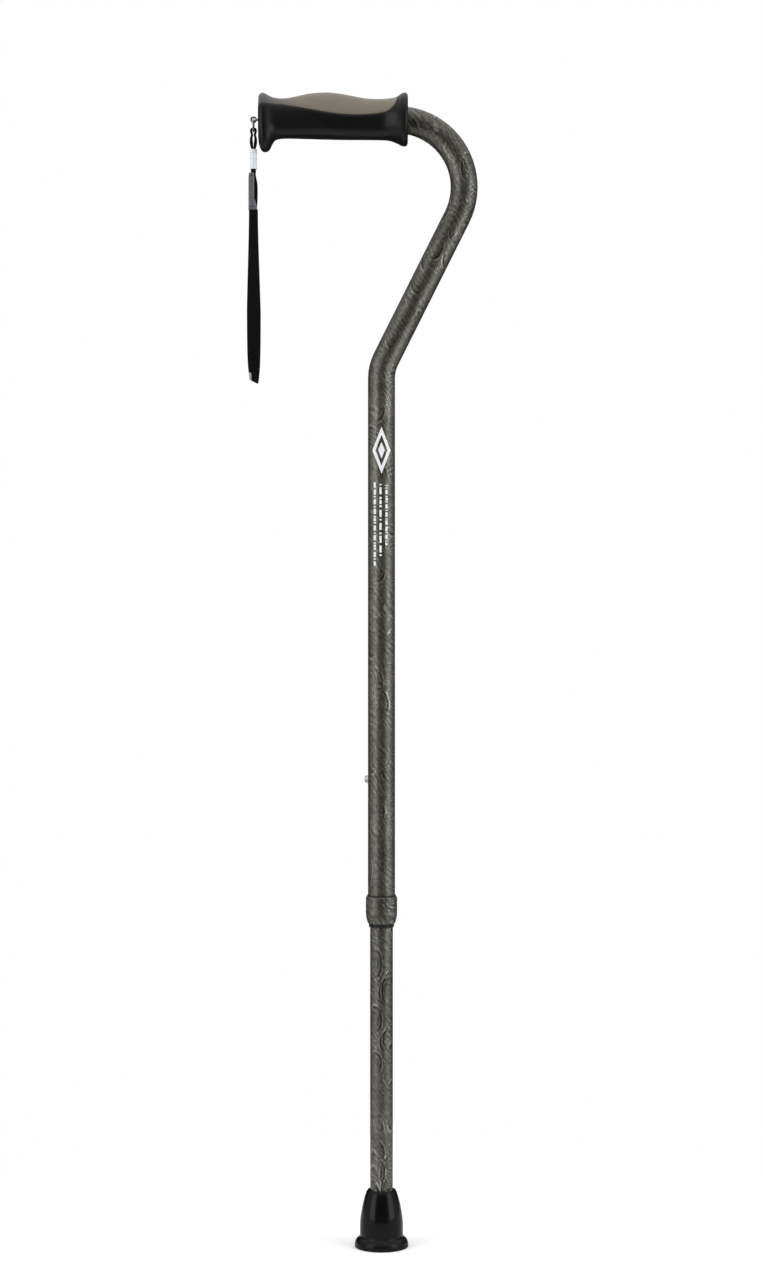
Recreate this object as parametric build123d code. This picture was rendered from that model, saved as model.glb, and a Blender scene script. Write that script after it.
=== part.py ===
"""Single point cane: a height-adjustable walking cane with an offset handle and a wrist strap.

Millimetres. The origin is the centre of the rubber tip's base, on the shaft's axis. +Z runs up
the shaft, the handle points to -X, and the crook bulges to +X, all in the plane Y = 0.
"""
from build123d import *
import math
import os

os.makedirs("parts", exist_ok=True)

# ---------------------------------------------------------------- driving dimensions
# Telescoping tubes
LOWER_OD = 19.05
LOWER_WALL = 1.25
LOWER_LENGTH = 425.0
TUBE_CLEARANCE = 0.35  # radial, between the two tubes
UPPER_WALL = 1.45  # with its film

# Row of height holes and the button that stands in one of them
HOLE_COUNT = 13
HOLE_PITCH = 19.05
REST_HOLE = 2  # counted up from the lowest hole, which is hole 0
END_TO_LOWEST_HOLE = 71.2
BUTTON_BEARING = 18.0  # degrees from -X towards +Y
BUTTON_DIAMETER = 6.4
BUTTON_PROUD = 3.0
BUTTON_BELOW_TOP = 45.2  # below the lower tube's upper end
BUTTON_CLEARANCE = 0.1  # radial, in the lower tube's own hole
HOLE_CLEARANCE = 0.25  # radial, in the upper tube's holes
BUTTON_FLANGE = 0.8  # flange's width round the button
BUTTON_FLANGE_THICKNESS = 0.9

# Bent upper tube
UPPER_STRAIGHT = 453.6  # lower end to the crook's corner
CROOK_LEAN = 26.6  # degrees off the shaft's axis
CROOK_RADIUS = 36.0
HANDLE_RISE = 207.9  # crook's corner up to the handle's axis
HANDLE_RADIUS = 56.4
HANDLE_END_X = -98.6  # tube's free end

# Spring clip inside the lower tube
CLIP_THICKNESS = 0.6
CLIP_WIDTH = 6.6
CLIP_LENGTH = 34.0  # button up to the bend
CLIP_BEND = 2.4
CLIP_TAIL = 5.0  # strip below the button's axis
CLIP_GAP = 0.1

# Anti-rattle bush on the lower tube's top end
TOP_BUSH_RIM = 3.0
TOP_BUSH_DEPTH = 10.0
TOP_BUSH_BORE = 12.5
TOP_BUSH_CLEARANCE = 0.1

# Collet bushing and lock nut
BUSHING_WALL = 0.75  # round the upper tube's end
BUSHING_GRIP = 11.5  # length of upper tube under the nut
BUSHING_RIM = 1.2  # seen above the nut
FINGER_LENGTH = 14.0
FINGER_CLEARANCE = 0.1
FINGER_TIP_WALL = 0.75
FINGER_SLOT = 1.2
FINGER_SLOTS = 4
THREAD_CLEARANCE = 0.1
NUT_WALL = 0.9
NUT_CHAMFER = 0.8
NUT_TAPER_Z = 3.2  # below the upper tube's end, where the nut begins to taper
NUT_MOUTH_WALL = 0.5
NUT_TO_LIP = 3.2  # the fingers' tips stand this far below the nut

# Rubber tip
TIP_FLOOR = 9.0
WASHER_THICKNESS = 1.5
WASHER_CLEARANCE = 0.15
TIP_HEIGHT = 47.3
TIP_RIM_WALL = 2.8
TIP_MOUTH_CHAMFER = 1.3
TIP_BASE_RADIUS = 22.35
TIP_BASE_EDGE = 1.7
TIP_WAIST_RADIUS = 18.1
TIP_WAIST_Z = 9.2
TIP_SHOULDER_Z = 15.5
TREAD_DEPTH = 2.0
TREAD_CENTRE = 5.5  # radius of the flat disc in the middle
TREAD_GROOVE = 2.0
TREAD_PITCH = 4.6
TREAD_GROOVES = 3

# Grip: heights are from the tube's axis
GRIP_LEFT_X = -102.6
GRIP_RIGHT_X = 21.5
GRIP_HALF_WIDTH = 17.0
GRIP_CORNER = 14.0
CORE_WALL = 1.5
CORE_RIGHT_X = 17.0
PALM_TOP = 22.8
PALM_ENDS_X = 13.6
GRIP_BELLY = 16.0
LEFT_FLANGE_DROP = 28.0
RIGHT_FLANGE_DROP = 22.7

# Plug in the handle's end, screw eye and ring
PLUG_DEPTH = 12.0
PLUG_FLANGE = 1.5
EYE_RADIUS = 2.0
EYE_WIRE = 0.95
EYE_SHANK_RADIUS = 1.2
EYE_SHANK_LENGTH = 13.0
STRAP_X = -107.2
RING_RADIUS = 4.65
RING_WIRE = 0.7
RING_CLEARANCE = 0.05
CORD_RING_GAP = 0.15

# Wrist strap: heights are below the tube's axis
CLASP_TOP = 24.8
CLASP_HALF = 8.35  # length of each half
CLASP_RADIUS = 3.05
CLASP_WALL = 0.7
CLASP_SPIGOT = 2.0
CORD_DIAMETER = 1.8
CORD_SPREAD = 1.0  # each strand's distance from the clasp's axis
CORD_HOLE_CLEARANCE = 0.12
KNOT_RADIUS = 1.9
NECK_LENGTH = 3.0
NECK_RADIUS = 2.1
BAND_LENGTH = 31.0
BAND_WIDTH = 7.6
BAND_DEPTH = 4.6
WEBBING_WIDTH = 10.4
WEBBING_THICKNESS = 1.3

# ---------------------------------------------------------------- worked out from them
lower_r = LOWER_OD / 2
lower_bore = lower_r - LOWER_WALL
upper_bore = lower_r + TUBE_CLEARANCE
upper_r = upper_bore + UPPER_WALL
lower_bottom_z = TIP_FLOOR + WASHER_THICKNESS
lower_top_z = lower_bottom_z + LOWER_LENGTH
button_z = lower_top_z - BUTTON_BELOW_TOP
lowest_hole_z = button_z - REST_HOLE * HOLE_PITCH
upper_end_z = lowest_hole_z - END_TO_LOWEST_HOLE
crook_z = upper_end_z + UPPER_STRAIGHT
handle_z = crook_z + HANDLE_RISE
handle_corner_x = HANDLE_RISE * math.tan(math.radians(CROOK_LEAN))
button_r = BUTTON_DIAMETER / 2
core_r = upper_r + CORE_WALL
bushing_r = upper_r + BUSHING_WALL
nut_bore = bushing_r + THREAD_CLEARANCE
nut_r = nut_bore + NUT_WALL
lip_z = upper_end_z - FINGER_LENGTH
to_button = Rot(0, 0, -BUTTON_BEARING)  # turns a part made on the -X side round to the button


def save(name, shape):
    """Write one node. A group of separate solids goes out as one file."""
    shape.label = name
    export_step(shape, f"parts/{name}.step")


def spun(*profile):
    """Revolve a closed profile of (radius, z) points, or of edges in the plane XZ, about Z."""
    if isinstance(profile[0], tuple):
        outline = Polyline(*[(r, 0, z) for r, z in profile], close=True)
    else:
        outline = Wire(profile)
    return revolve(make_face(outline), Axis.Z)


def ring_of(outer, inner, bottom, top):
    """A plain ring about Z."""
    return spun((inner, bottom), (outer, bottom), (outer, top), (inner, top))


def rod(start, direction, radius, length):
    """A round rod from a point, along a direction."""
    return extrude(Plane(start, z_dir=direction) * Circle(radius), length)


# ---------------------------------------------------------------- tubes
def bent_rod(radius):
    """A solid round bar along the whole of the upper tube."""
    path = FilletPolyline(
        (0, 0, upper_end_z),
        (0, 0, crook_z),
        (handle_corner_x, 0, handle_z),
        (HANDLE_END_X, 0, handle_z),
        radius=[CROOK_RADIUS, HANDLE_RADIUS],
    )
    return sweep(Plane((0, 0, upper_end_z)) * Circle(radius), path)


def upper_tube():
    tube = bent_rod(upper_r) - bent_rod(upper_bore)
    for index in range(HOLE_COUNT):
        height = lowest_hole_z + index * HOLE_PITCH
        hole = rod((0, 0, height), (-1, 0, 0), button_r + HOLE_CLEARANCE, 2 * upper_r)
        tube -= to_button * hole
    return tube


def lower_tube():
    tube = ring_of(lower_r, lower_bore, lower_bottom_z, lower_top_z)
    hole = rod((0, 0, button_z), (-1, 0, 0), button_r + BUTTON_CLEARANCE, 2 * lower_r)
    return tube - to_button * hole


def tube_top_bush():
    rim_r = upper_bore - TOP_BUSH_CLEARANCE
    bore = TOP_BUSH_BORE / 2
    return spun(
        (bore, lower_top_z - TOP_BUSH_DEPTH),
        (lower_bore, lower_top_z - TOP_BUSH_DEPTH),
        (lower_bore, lower_top_z),
        (rim_r, lower_top_z),
        (rim_r, lower_top_z + TOP_BUSH_RIM),
        (bore, lower_top_z + TOP_BUSH_RIM),
    )


# ---------------------------------------------------------------- button and its spring
def wall_x(half_width):
    """How far the lower tube's inner wall is from the axis, at this distance to the side."""
    return math.sqrt(lower_bore**2 - half_width**2)


flange_r = button_r + BUTTON_FLANGE
flange_x = -(wall_x(flange_r) - CLIP_GAP)


def snap_button():
    end_x = -(upper_r + BUTTON_PROUD)
    pin = rod((flange_x, 0, button_z), (-1, 0, 0), button_r, flange_x - end_x)
    pin = fillet(pin.edges().group_by(Axis.X)[0], button_r * 0.45)
    pin += rod((flange_x, 0, button_z), (1, 0, 0), flange_r, BUTTON_FLANGE_THICKNESS)
    return to_button * pin


def spring_clip():
    button_leg_x = flange_x + BUTTON_FLANGE_THICKNESS + CLIP_THICKNESS / 2
    free_leg_x = wall_x(CLIP_WIDTH / 2) - CLIP_THICKNESS / 2 - CLIP_GAP
    bend_z = button_z + CLIP_LENGTH
    path = FilletPolyline(
        (button_leg_x, 0, button_z - CLIP_TAIL),
        (button_leg_x, 0, button_z + CLIP_TAIL),
        (-CLIP_BEND, 0, bend_z),
        (CLIP_BEND, 0, bend_z),
        (free_leg_x, 0, button_z),
        radius=[CLIP_TAIL, CLIP_BEND * 0.7, CLIP_BEND * 0.7],
    )
    strip = sweep(Plane(path @ 0, z_dir=path % 0) * Rectangle(CLIP_THICKNESS, CLIP_WIDTH), path)
    return to_button * strip


# ---------------------------------------------------------------- lock
def collet_bushing():
    rim_top = upper_end_z + BUSHING_GRIP + BUSHING_RIM
    finger_bore = lower_r + FINGER_CLEARANCE
    bushing = spun(
        (finger_bore, lip_z),
        (finger_bore + FINGER_TIP_WALL, lip_z),
        (bushing_r, upper_end_z),
        (bushing_r, rim_top),
        (upper_r, rim_top),
        (upper_r, upper_end_z),
        (finger_bore, upper_end_z),
    )
    slot_height = FINGER_LENGTH - 2
    slot = Box(2 * nut_r, FINGER_SLOT, slot_height, align=(Align.MIN, Align.CENTER, Align.MIN))
    for index in range(FINGER_SLOTS):
        bushing -= Rot(0, 0, (index + 0.5) * 360 / FINGER_SLOTS) * Pos(0, 0, lip_z) * slot
    return bushing


def lock_nut():
    """The cone inside follows the fingers, and its threads are left as a plain clearance."""
    top = upper_end_z + BUSHING_GRIP
    bottom = lip_z + NUT_TO_LIP
    finger_bore = lower_r + FINGER_CLEARANCE
    finger_slope = (bushing_r - finger_bore - FINGER_TIP_WALL) / FINGER_LENGTH
    mouth_bore = finger_bore + FINGER_TIP_WALL + finger_slope * NUT_TO_LIP + THREAD_CLEARANCE
    mouth_r = mouth_bore + NUT_MOUTH_WALL
    taper_top = upper_end_z - NUT_TAPER_Z
    taper_height = taper_top - bottom
    inside = Polyline(
        (mouth_r, 0, bottom),
        (mouth_bore, 0, bottom),
        (nut_bore, 0, upper_end_z),
        (nut_bore, 0, top),
        (nut_r - NUT_CHAMFER, 0, top),
        (nut_r, 0, top - NUT_CHAMFER),
        (nut_r, 0, taper_top),
    )
    middle_r = nut_r - (nut_r - mouth_r) * 0.34
    taper = ThreePointArc(
        (nut_r, 0, taper_top), (middle_r, 0, taper_top - taper_height / 2), (mouth_r, 0, bottom)
    )
    return spun(*inside.edges(), taper)


# ---------------------------------------------------------------- rubber tip
def rubber_tip():
    rim_r = lower_r + TIP_RIM_WALL
    side = Spline(
        (TIP_WAIST_RADIUS, 0, TIP_SHOULDER_Z),
        (TIP_WAIST_RADIUS - 1.3, 0, TIP_SHOULDER_Z + 14.0),
        (rim_r + 2.2, 0, TIP_HEIGHT - 7.5),
        (rim_r, 0, TIP_HEIGHT - 1.2),
        tangents=[(0, 0, 1), (-0.45, 0, 1)],
    )
    flare = Spline(
        (TIP_BASE_RADIUS, 0, TIP_BASE_EDGE),
        (TIP_BASE_RADIUS - 2.0, 0, TIP_BASE_EDGE + 5.0),
        (TIP_WAIST_RADIUS, 0, TIP_WAIST_Z),
        tangents=[(0, 0, 1), (-0.3, 0, 1)],
    )
    bore = Polyline(
        (rim_r, 0, TIP_HEIGHT - 1.2),
        (rim_r - 0.9, 0, TIP_HEIGHT),
        (lower_r + TIP_MOUTH_CHAMFER, 0, TIP_HEIGHT),
        (lower_r, 0, TIP_HEIGHT - TIP_MOUTH_CHAMFER),
        (lower_r, 0, TIP_FLOOR),
        (0, 0, TIP_FLOOR),
        (0, 0, 0),
        (TIP_BASE_RADIUS, 0, 0),
        (TIP_BASE_RADIUS, 0, TIP_BASE_EDGE),
    )
    waist = Line((TIP_WAIST_RADIUS, 0, TIP_WAIST_Z), (TIP_WAIST_RADIUS, 0, TIP_SHOULDER_Z))
    tip = spun(*bore.edges(), flare, waist, side)
    for index in range(TREAD_GROOVES):
        inner = TREAD_CENTRE + index * TREAD_PITCH
        tip -= ring_of(inner + TREAD_GROOVE, inner, -1, TREAD_DEPTH)
    return tip


def tip_washer():
    return rod((0, 0, TIP_FLOOR), (0, 0, 1), lower_r - WASHER_CLEARANCE, WASHER_THICKNESS)


# ---------------------------------------------------------------- grip
def grip_blank():
    """The whole grip before it is parted: its side view and its end view, both pushed through."""
    top = handle_z + PALM_TOP
    belly = handle_z - GRIP_BELLY
    upper_edge = Spline(
        (GRIP_LEFT_X, 0, top - 1.3),
        (GRIP_LEFT_X + 14, 0, top - 4.9),
        (-50, 0, top),
        (-13, 0, top - 5.3),
        (PALM_ENDS_X - 3, 0, top - 3.5),
        (GRIP_RIGHT_X, 0, top - 0.3),
    )
    lower_edge = Polyline(
        (GRIP_RIGHT_X, 0, top - 0.3),
        (GRIP_RIGHT_X, 0, handle_z - RIGHT_FLANGE_DROP),
        (GRIP_RIGHT_X - 9, 0, handle_z - RIGHT_FLANGE_DROP),
        (GRIP_RIGHT_X - 19, 0, belly),
        (GRIP_LEFT_X + 19, 0, belly),
        (GRIP_LEFT_X + 8.5, 0, handle_z - LEFT_FLANGE_DROP),
        (GRIP_LEFT_X, 0, handle_z - LEFT_FLANGE_DROP),
        (GRIP_LEFT_X, 0, top - 1.3),
    )
    side = extrude(make_face(Wire([upper_edge, *lower_edge.edges()])), GRIP_HALF_WIDTH, both=True)
    height = PALM_TOP + LEFT_FLANGE_DROP
    middle_z = handle_z + (PALM_TOP - LEFT_FLANGE_DROP) / 2
    end_view = Plane((GRIP_LEFT_X, 0, middle_z), x_dir=(0, 1, 0), z_dir=(1, 0, 0))
    section = end_view * RectangleRounded(2 * GRIP_HALF_WIDTH, height, GRIP_CORNER)
    return side & extrude(section, GRIP_RIGHT_X - GRIP_LEFT_X)


def palm_region():
    """Everything above the line where the palm rest meets the black body."""
    parting = Spline(
        (GRIP_LEFT_X - 1, 0, handle_z + 14.0),
        (-63, 0, handle_z + 9.7),
        (-25, 0, handle_z + 4.6),
        (0, 0, handle_z + 5.8),
        (PALM_ENDS_X - 2, 0, handle_z + 13),
        (PALM_ENDS_X, 0, handle_z + 18),
    )
    above = Polyline(
        (PALM_ENDS_X, 0, handle_z + 18),
        (PALM_ENDS_X, 0, handle_z + 2 * PALM_TOP),
        (GRIP_LEFT_X - 1, 0, handle_z + 2 * PALM_TOP),
        (GRIP_LEFT_X - 1, 0, handle_z + 14.0),
    )
    region = extrude(make_face(Wire([parting, *above.edges()])), 2 * GRIP_HALF_WIDTH, both=True)
    return region - rod((HANDLE_END_X - 50, 0, handle_z), (1, 0, 0), core_r, 200)


def tunnel():
    """The space for the core and the end plug, for the tube, and for the eye's shank."""
    core_end = HANDLE_END_X - PLUG_FLANGE
    space = rod((core_end, 0, handle_z), (1, 0, 0), core_r, CORE_RIGHT_X - core_end)
    return space + rod((core_end + 1, 0, handle_z), (-1, 0, 0), EYE_SHANK_RADIUS, 20)


def grip_core():
    sleeve = rod((HANDLE_END_X, 0, handle_z), (1, 0, 0), core_r, CORE_RIGHT_X - HANDLE_END_X)
    return sleeve - bent_rod(upper_r)


def grip_end_plug():
    plug = rod((HANDLE_END_X, 0, handle_z), (1, 0, 0), upper_bore, PLUG_DEPTH)
    plug += rod((HANDLE_END_X, 0, handle_z), (-1, 0, 0), core_r, PLUG_FLANGE)
    return plug - rod((HANDLE_END_X - 20, 0, handle_z), (1, 0, 0), EYE_SHANK_RADIUS, 60)


def strap_eye():
    eye = Plane((STRAP_X, 0, handle_z), z_dir=(0, 1, 0)) * Torus(EYE_RADIUS, EYE_WIRE)
    shank_start = (STRAP_X + EYE_RADIUS, 0, handle_z)
    return eye + rod(shank_start, (1, 0, 0), EYE_SHANK_RADIUS, EYE_SHANK_LENGTH)


# ---------------------------------------------------------------- wrist strap
ring_drop = EYE_RADIUS - EYE_WIRE - RING_WIRE - RING_CLEARANCE
ring_z = handle_z - ring_drop - RING_RADIUS
clasp_z = handle_z - CLASP_TOP
split_z = clasp_z - CLASP_HALF
neck_z = split_z - CLASP_HALF
band_top_z = neck_z - NECK_LENGTH
band_end_z = band_top_z - BAND_LENGTH
cord_hole_r = CORD_DIAMETER / 2 + CORD_HOLE_CLEARANCE


def strap_ring():
    return Plane((STRAP_X, 0, ring_z), z_dir=(1, 0, 0)) * Torus(RING_RADIUS, RING_WIRE)


def tube_along(points, section, label):
    """Sweep a section along straight runs joined by the largest arcs that they allow."""
    radii = []
    for before, corner, after in zip(points, points[1:], points[2:]):
        inward = Vector(corner) - Vector(before)
        outward = Vector(after) - Vector(corner)
        half_turn = math.radians(inward.get_angle(outward)) / 2
        radii.append(0.45 * min(inward.length, outward.length) / math.tan(half_turn))
    print(label, "radii", [round(radius, 1) for radius in radii])
    path = FilletPolyline(*points, radius=radii)
    print(label, "length", round(path.length, 1))
    start = Plane(path @ 0, x_dir=(1, 0, 0) if section.label == "flat" else None, z_dir=path % 0)
    return sweep(start * section, path)


def cord_loop():
    """Up out of the cap, over the ring's lower wire and down again. Offsets are (x, below axis)."""
    top = ring_z - RING_RADIUS + RING_WIRE + CORD_RING_GAP + CORD_DIAMETER / 2
    route = [
        (-CORD_SPREAD, clasp_z - CLASP_WALL),
        (-CORD_SPREAD, clasp_z + 1.6),
        (-1.95, clasp_z + 4.6),
        (-1.9, clasp_z + 7.4),
        (-1.0, clasp_z + 10.8),
        (-1.9, top - 3.0),
        (-1.85, top + 0.1),
        (1.8, top + 0.2),
        (1.85, top - 3.0),
        (1.0, clasp_z + 10.8),
        (1.9, clasp_z + 7.4),
        (1.9, clasp_z + 4.6),
        (CORD_SPREAD, clasp_z + 1.6),
        (CORD_SPREAD, clasp_z - CLASP_WALL),
    ]
    points = [(STRAP_X + x, 0, z) for x, z in route]
    return tube_along(points, Circle(CORD_DIAMETER / 2), "cord_loop")


def cord_knot():
    centre_z = clasp_z - CLASP_WALL - KNOT_RADIUS
    return Pos(STRAP_X, 0, centre_z) * Sphere(KNOT_RADIUS)


def clasp_cap():
    cap = ring_of(CLASP_RADIUS, CLASP_RADIUS - CLASP_WALL, split_z, clasp_z)
    cap += ring_of(CLASP_RADIUS, 0, clasp_z - CLASP_WALL, clasp_z)
    cap = Pos(STRAP_X, 0, 0) * cap
    for side in (-1, 1):
        hole = rod((STRAP_X + side * CORD_SPREAD, 0, clasp_z - 2), (0, 0, 1), cord_hole_r, 4)
        cap -= hole
    return cap


def clasp_socket():
    """Its spigot turns inside the cap."""
    spigot_r = CLASP_RADIUS - CLASP_WALL - RING_CLEARANCE
    return Pos(STRAP_X, 0, 0) * spun(
        (NECK_RADIUS, neck_z),
        (CLASP_RADIUS, neck_z),
        (CLASP_RADIUS, split_z - RING_CLEARANCE),
        (spigot_r, split_z - RING_CLEARANCE),
        (spigot_r, split_z + CLASP_SPIGOT),
        (0, split_z + CLASP_SPIGOT),
        (0, split_z),
        (NECK_RADIUS, split_z),
    )


def strap_neck():
    length = split_z - band_top_z
    return rod((STRAP_X, 0, band_top_z), (0, 0, 1), NECK_RADIUS, length)


def reflective_band():
    band = Box(BAND_WIDTH, BAND_DEPTH, BAND_LENGTH, align=(Align.CENTER, Align.CENTER, Align.MIN))
    band = fillet(band.edges().filter_by(Axis.Z), BAND_DEPTH * 0.45)
    return Pos(STRAP_X, 0, band_end_z) * band


def wrist_webbing():
    """A loop that opens from front to back. The route holds (y, above the band's lower end)."""
    route = [
        (-1.3, 0.0),
        (-1.3, -12.0),
        (-5.6, -34.0),
        (-10.0, -62.0),
        (-12.4, -92.0),
        (-10.6, -119.0),
        (-5.0, -139.0),
        (1.6, -144.6),
        (8.2, -138.0),
        (12.6, -117.0),
        (12.8, -89.0),
        (9.6, -60.0),
        (4.9, -33.0),
        (1.3, -12.0),
        (1.3, 0.0),
    ]
    points = [(STRAP_X, y, band_end_z + z) for y, z in route]
    section = Rectangle(WEBBING_WIDTH, WEBBING_THICKNESS)
    section.label = "flat"
    return tube_along(points, section, "wrist_webbing")


blank = grip_blank()
palm = palm_region()
save("upper_tube", upper_tube())
save("lower_tube", lower_tube())
save("tube_top_bush", tube_top_bush())
save("snap_button", snap_button())
save("spring_clip", spring_clip())
save("collet_bushing", collet_bushing())
save("lock_nut", lock_nut())
save("rubber_tip", rubber_tip())
save("tip_washer", tip_washer())
save("grip_core", grip_core())
save("grip_body", blank - palm - tunnel() - bent_rod(upper_r))
save("palm_rest", blank & palm)
save("grip_end_plug", grip_end_plug())
save("strap_eye", strap_eye())
save("strap_ring", strap_ring())
save("cord_loop", cord_loop())
save("cord_knot", cord_knot())
save("clasp_cap", clasp_cap())
save("clasp_socket", clasp_socket())
save("strap_neck", strap_neck())
save("reflective_band", reflective_band())
save("wrist_webbing", wrist_webbing())
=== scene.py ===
"""Looks of the single point cane: an offset handle, telescoping printed tubes and a wrist strap.

Metres, in the frame of the CAD part: +Z up the shaft, the handle points to -X.
"""
import bpy
import math
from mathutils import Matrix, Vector


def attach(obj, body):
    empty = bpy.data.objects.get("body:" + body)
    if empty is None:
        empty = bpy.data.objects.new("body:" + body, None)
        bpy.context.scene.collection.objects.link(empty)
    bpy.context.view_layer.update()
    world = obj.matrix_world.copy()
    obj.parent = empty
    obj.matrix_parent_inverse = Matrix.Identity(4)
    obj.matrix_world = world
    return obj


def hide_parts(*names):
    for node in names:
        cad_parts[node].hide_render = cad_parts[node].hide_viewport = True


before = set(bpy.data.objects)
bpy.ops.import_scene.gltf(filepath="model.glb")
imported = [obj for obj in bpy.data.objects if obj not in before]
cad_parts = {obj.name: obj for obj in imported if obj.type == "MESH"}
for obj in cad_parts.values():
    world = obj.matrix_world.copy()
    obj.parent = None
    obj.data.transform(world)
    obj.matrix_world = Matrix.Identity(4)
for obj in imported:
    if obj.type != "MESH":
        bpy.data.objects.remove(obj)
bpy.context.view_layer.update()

MM = 0.001


# ---------------------------------------------------------------- shader writing
class Value:
    """A socket in a node tree. Python's operators on it add Math nodes."""

    def __init__(self, sheet, socket):
        self.sheet = sheet
        self.socket = socket

    def maths(self, operation, *others):
        return self.sheet.maths(operation, self, *others)

    def __add__(self, other):
        return self.maths("ADD", other)

    def __radd__(self, other):
        return self.maths("ADD", other)

    def __sub__(self, other):
        return self.maths("SUBTRACT", other)

    def __rsub__(self, other):
        return self.sheet.maths("SUBTRACT", other, self)

    def __mul__(self, other):
        return self.maths("MULTIPLY", other)

    def __truediv__(self, other):
        return self.maths("DIVIDE", other)

    def __abs__(self):
        return self.maths("ABSOLUTE")

    def __gt__(self, other):
        return self.maths("GREATER_THAN", other)

    def __lt__(self, other):
        return self.maths("LESS_THAN", other)

    def sin(self):
        return self.maths("SINE")

    def between(self, low, high):
        """0 below low, 1 above high, and a soft rise from one to the other."""
        return self.sheet.node(
            "ShaderNodeMapRange",
            {"interpolation_type": "SMOOTHSTEP"},
            {"Value": self, "From Min": low, "From Max": high},
        )


class NodeSheet:
    """Writes nodes into the tree of a material or a world."""

    def __init__(self, tree):
        self.tree = tree
        tree.nodes.clear()

    def node(self, kind, settings=None, sockets=None, output=0):
        made = self.tree.nodes.new(kind)
        for name, value in (settings or {}).items():
            if name == "stops":
                while len(made.color_ramp.elements) < len(value):
                    made.color_ramp.elements.new(0.5)
                for element, (position, colour) in zip(made.color_ramp.elements, value):
                    element.position = position
                    element.color = (*colour, 1)
            else:
                setattr(made, name, value)
        for name, value in (sockets or {}).items():
            self.feed(made, name, value)
        found = [s for s in made.outputs if output in (s.identifier, s.name)]
        return Value(self, found[0] if found else made.outputs[output])

    def feed(self, node, name, value):
        if isinstance(name, int):
            socket = node.inputs[name]
        else:
            socket = next(s for s in node.inputs if name in (s.identifier, s.name))
        if isinstance(value, Value):
            self.tree.links.new(value.socket, socket)
        elif value is not None:
            socket.default_value = value

    def maths(self, operation, *values):
        return self.node("ShaderNodeMath", {"operation": operation}, dict(enumerate(values)))

    def vector(self, operation, *values, output="Vector", **named):
        sockets = {**dict(enumerate(values)), **named}
        return self.node("ShaderNodeVectorMath", {"operation": operation}, sockets, output)

    def mix(self, factor, first, second):
        sockets = {"Factor_Float": factor, "A_Color": first, "B_Color": second}
        return self.node("ShaderNodeMix", {"data_type": "RGBA"}, sockets, "Result_Color")

    def place(self):
        """Where a point of the piece is, in the piece's own space."""
        return self.node("ShaderNodeTexCoord", output="Object")

    def parts(self, vector, axes="XYZ"):
        """The named coordinates of a vector, each as a Value."""
        return [self.node("ShaderNodeSeparateXYZ", None, {0: vector}, axis) for axis in axes]

    def noise(self, where, scale, detail=3.0, output="Fac"):
        sockets = {"Vector": where, "Scale": scale, "Detail": detail}
        return self.node("ShaderNodeTexNoise", None, sockets, output)


class Finish(NodeSheet):
    """A material with one Principled shader. Its constants are set straight on the sockets."""

    def __init__(self, name, **constants):
        self.material = bpy.data.materials.new(name)
        self.material.use_nodes = True
        super().__init__(self.material.node_tree)
        self.shader = self.tree.nodes.new("ShaderNodeBsdfPrincipled")
        out = self.tree.nodes.new("ShaderNodeOutputMaterial")
        self.tree.links.new(self.shader.outputs[0], out.inputs[0])
        for key, value in constants.items():
            self.shader.inputs[key.replace("_", " ")].default_value = value

    def drive(self, **sockets):
        for key, value in sockets.items():
            self.feed(self.shader, key.replace("_", " "), value)

    def bump(self, height, distance, strength=1.0):
        sockets = {"Height": height, "Distance": distance, "Strength": strength}
        self.feed(self.shader, "Normal", self.node("ShaderNodeBump", None, sockets))


# ---------------------------------------------------------------- finishes
ARC_CENTRES = ((57.0, 0.0056, 0.2), (46.0, 0.0072, 0.25), (37.0, 0.0096, 0.3))  # per metre, radius, left out
ARC_LINES = ((0.0, -1.0), (0.0012, 0.9), (-0.0024, -0.5))  # how far outside the radius, dark or light
ARC_WIDTH = 0.0007
ARC_SQUASH = (1, 1, 0.62)  # makes the arcs taller than they are wide
FILM_RAMP = [(0.0, (0.018, 0.018, 0.016)), (0.5, (0.1, 0.096, 0.084)), (1.0, (0.3, 0.29, 0.265))]
WHITE_PRINT = (0.8, 0.81, 0.82, 1)


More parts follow.
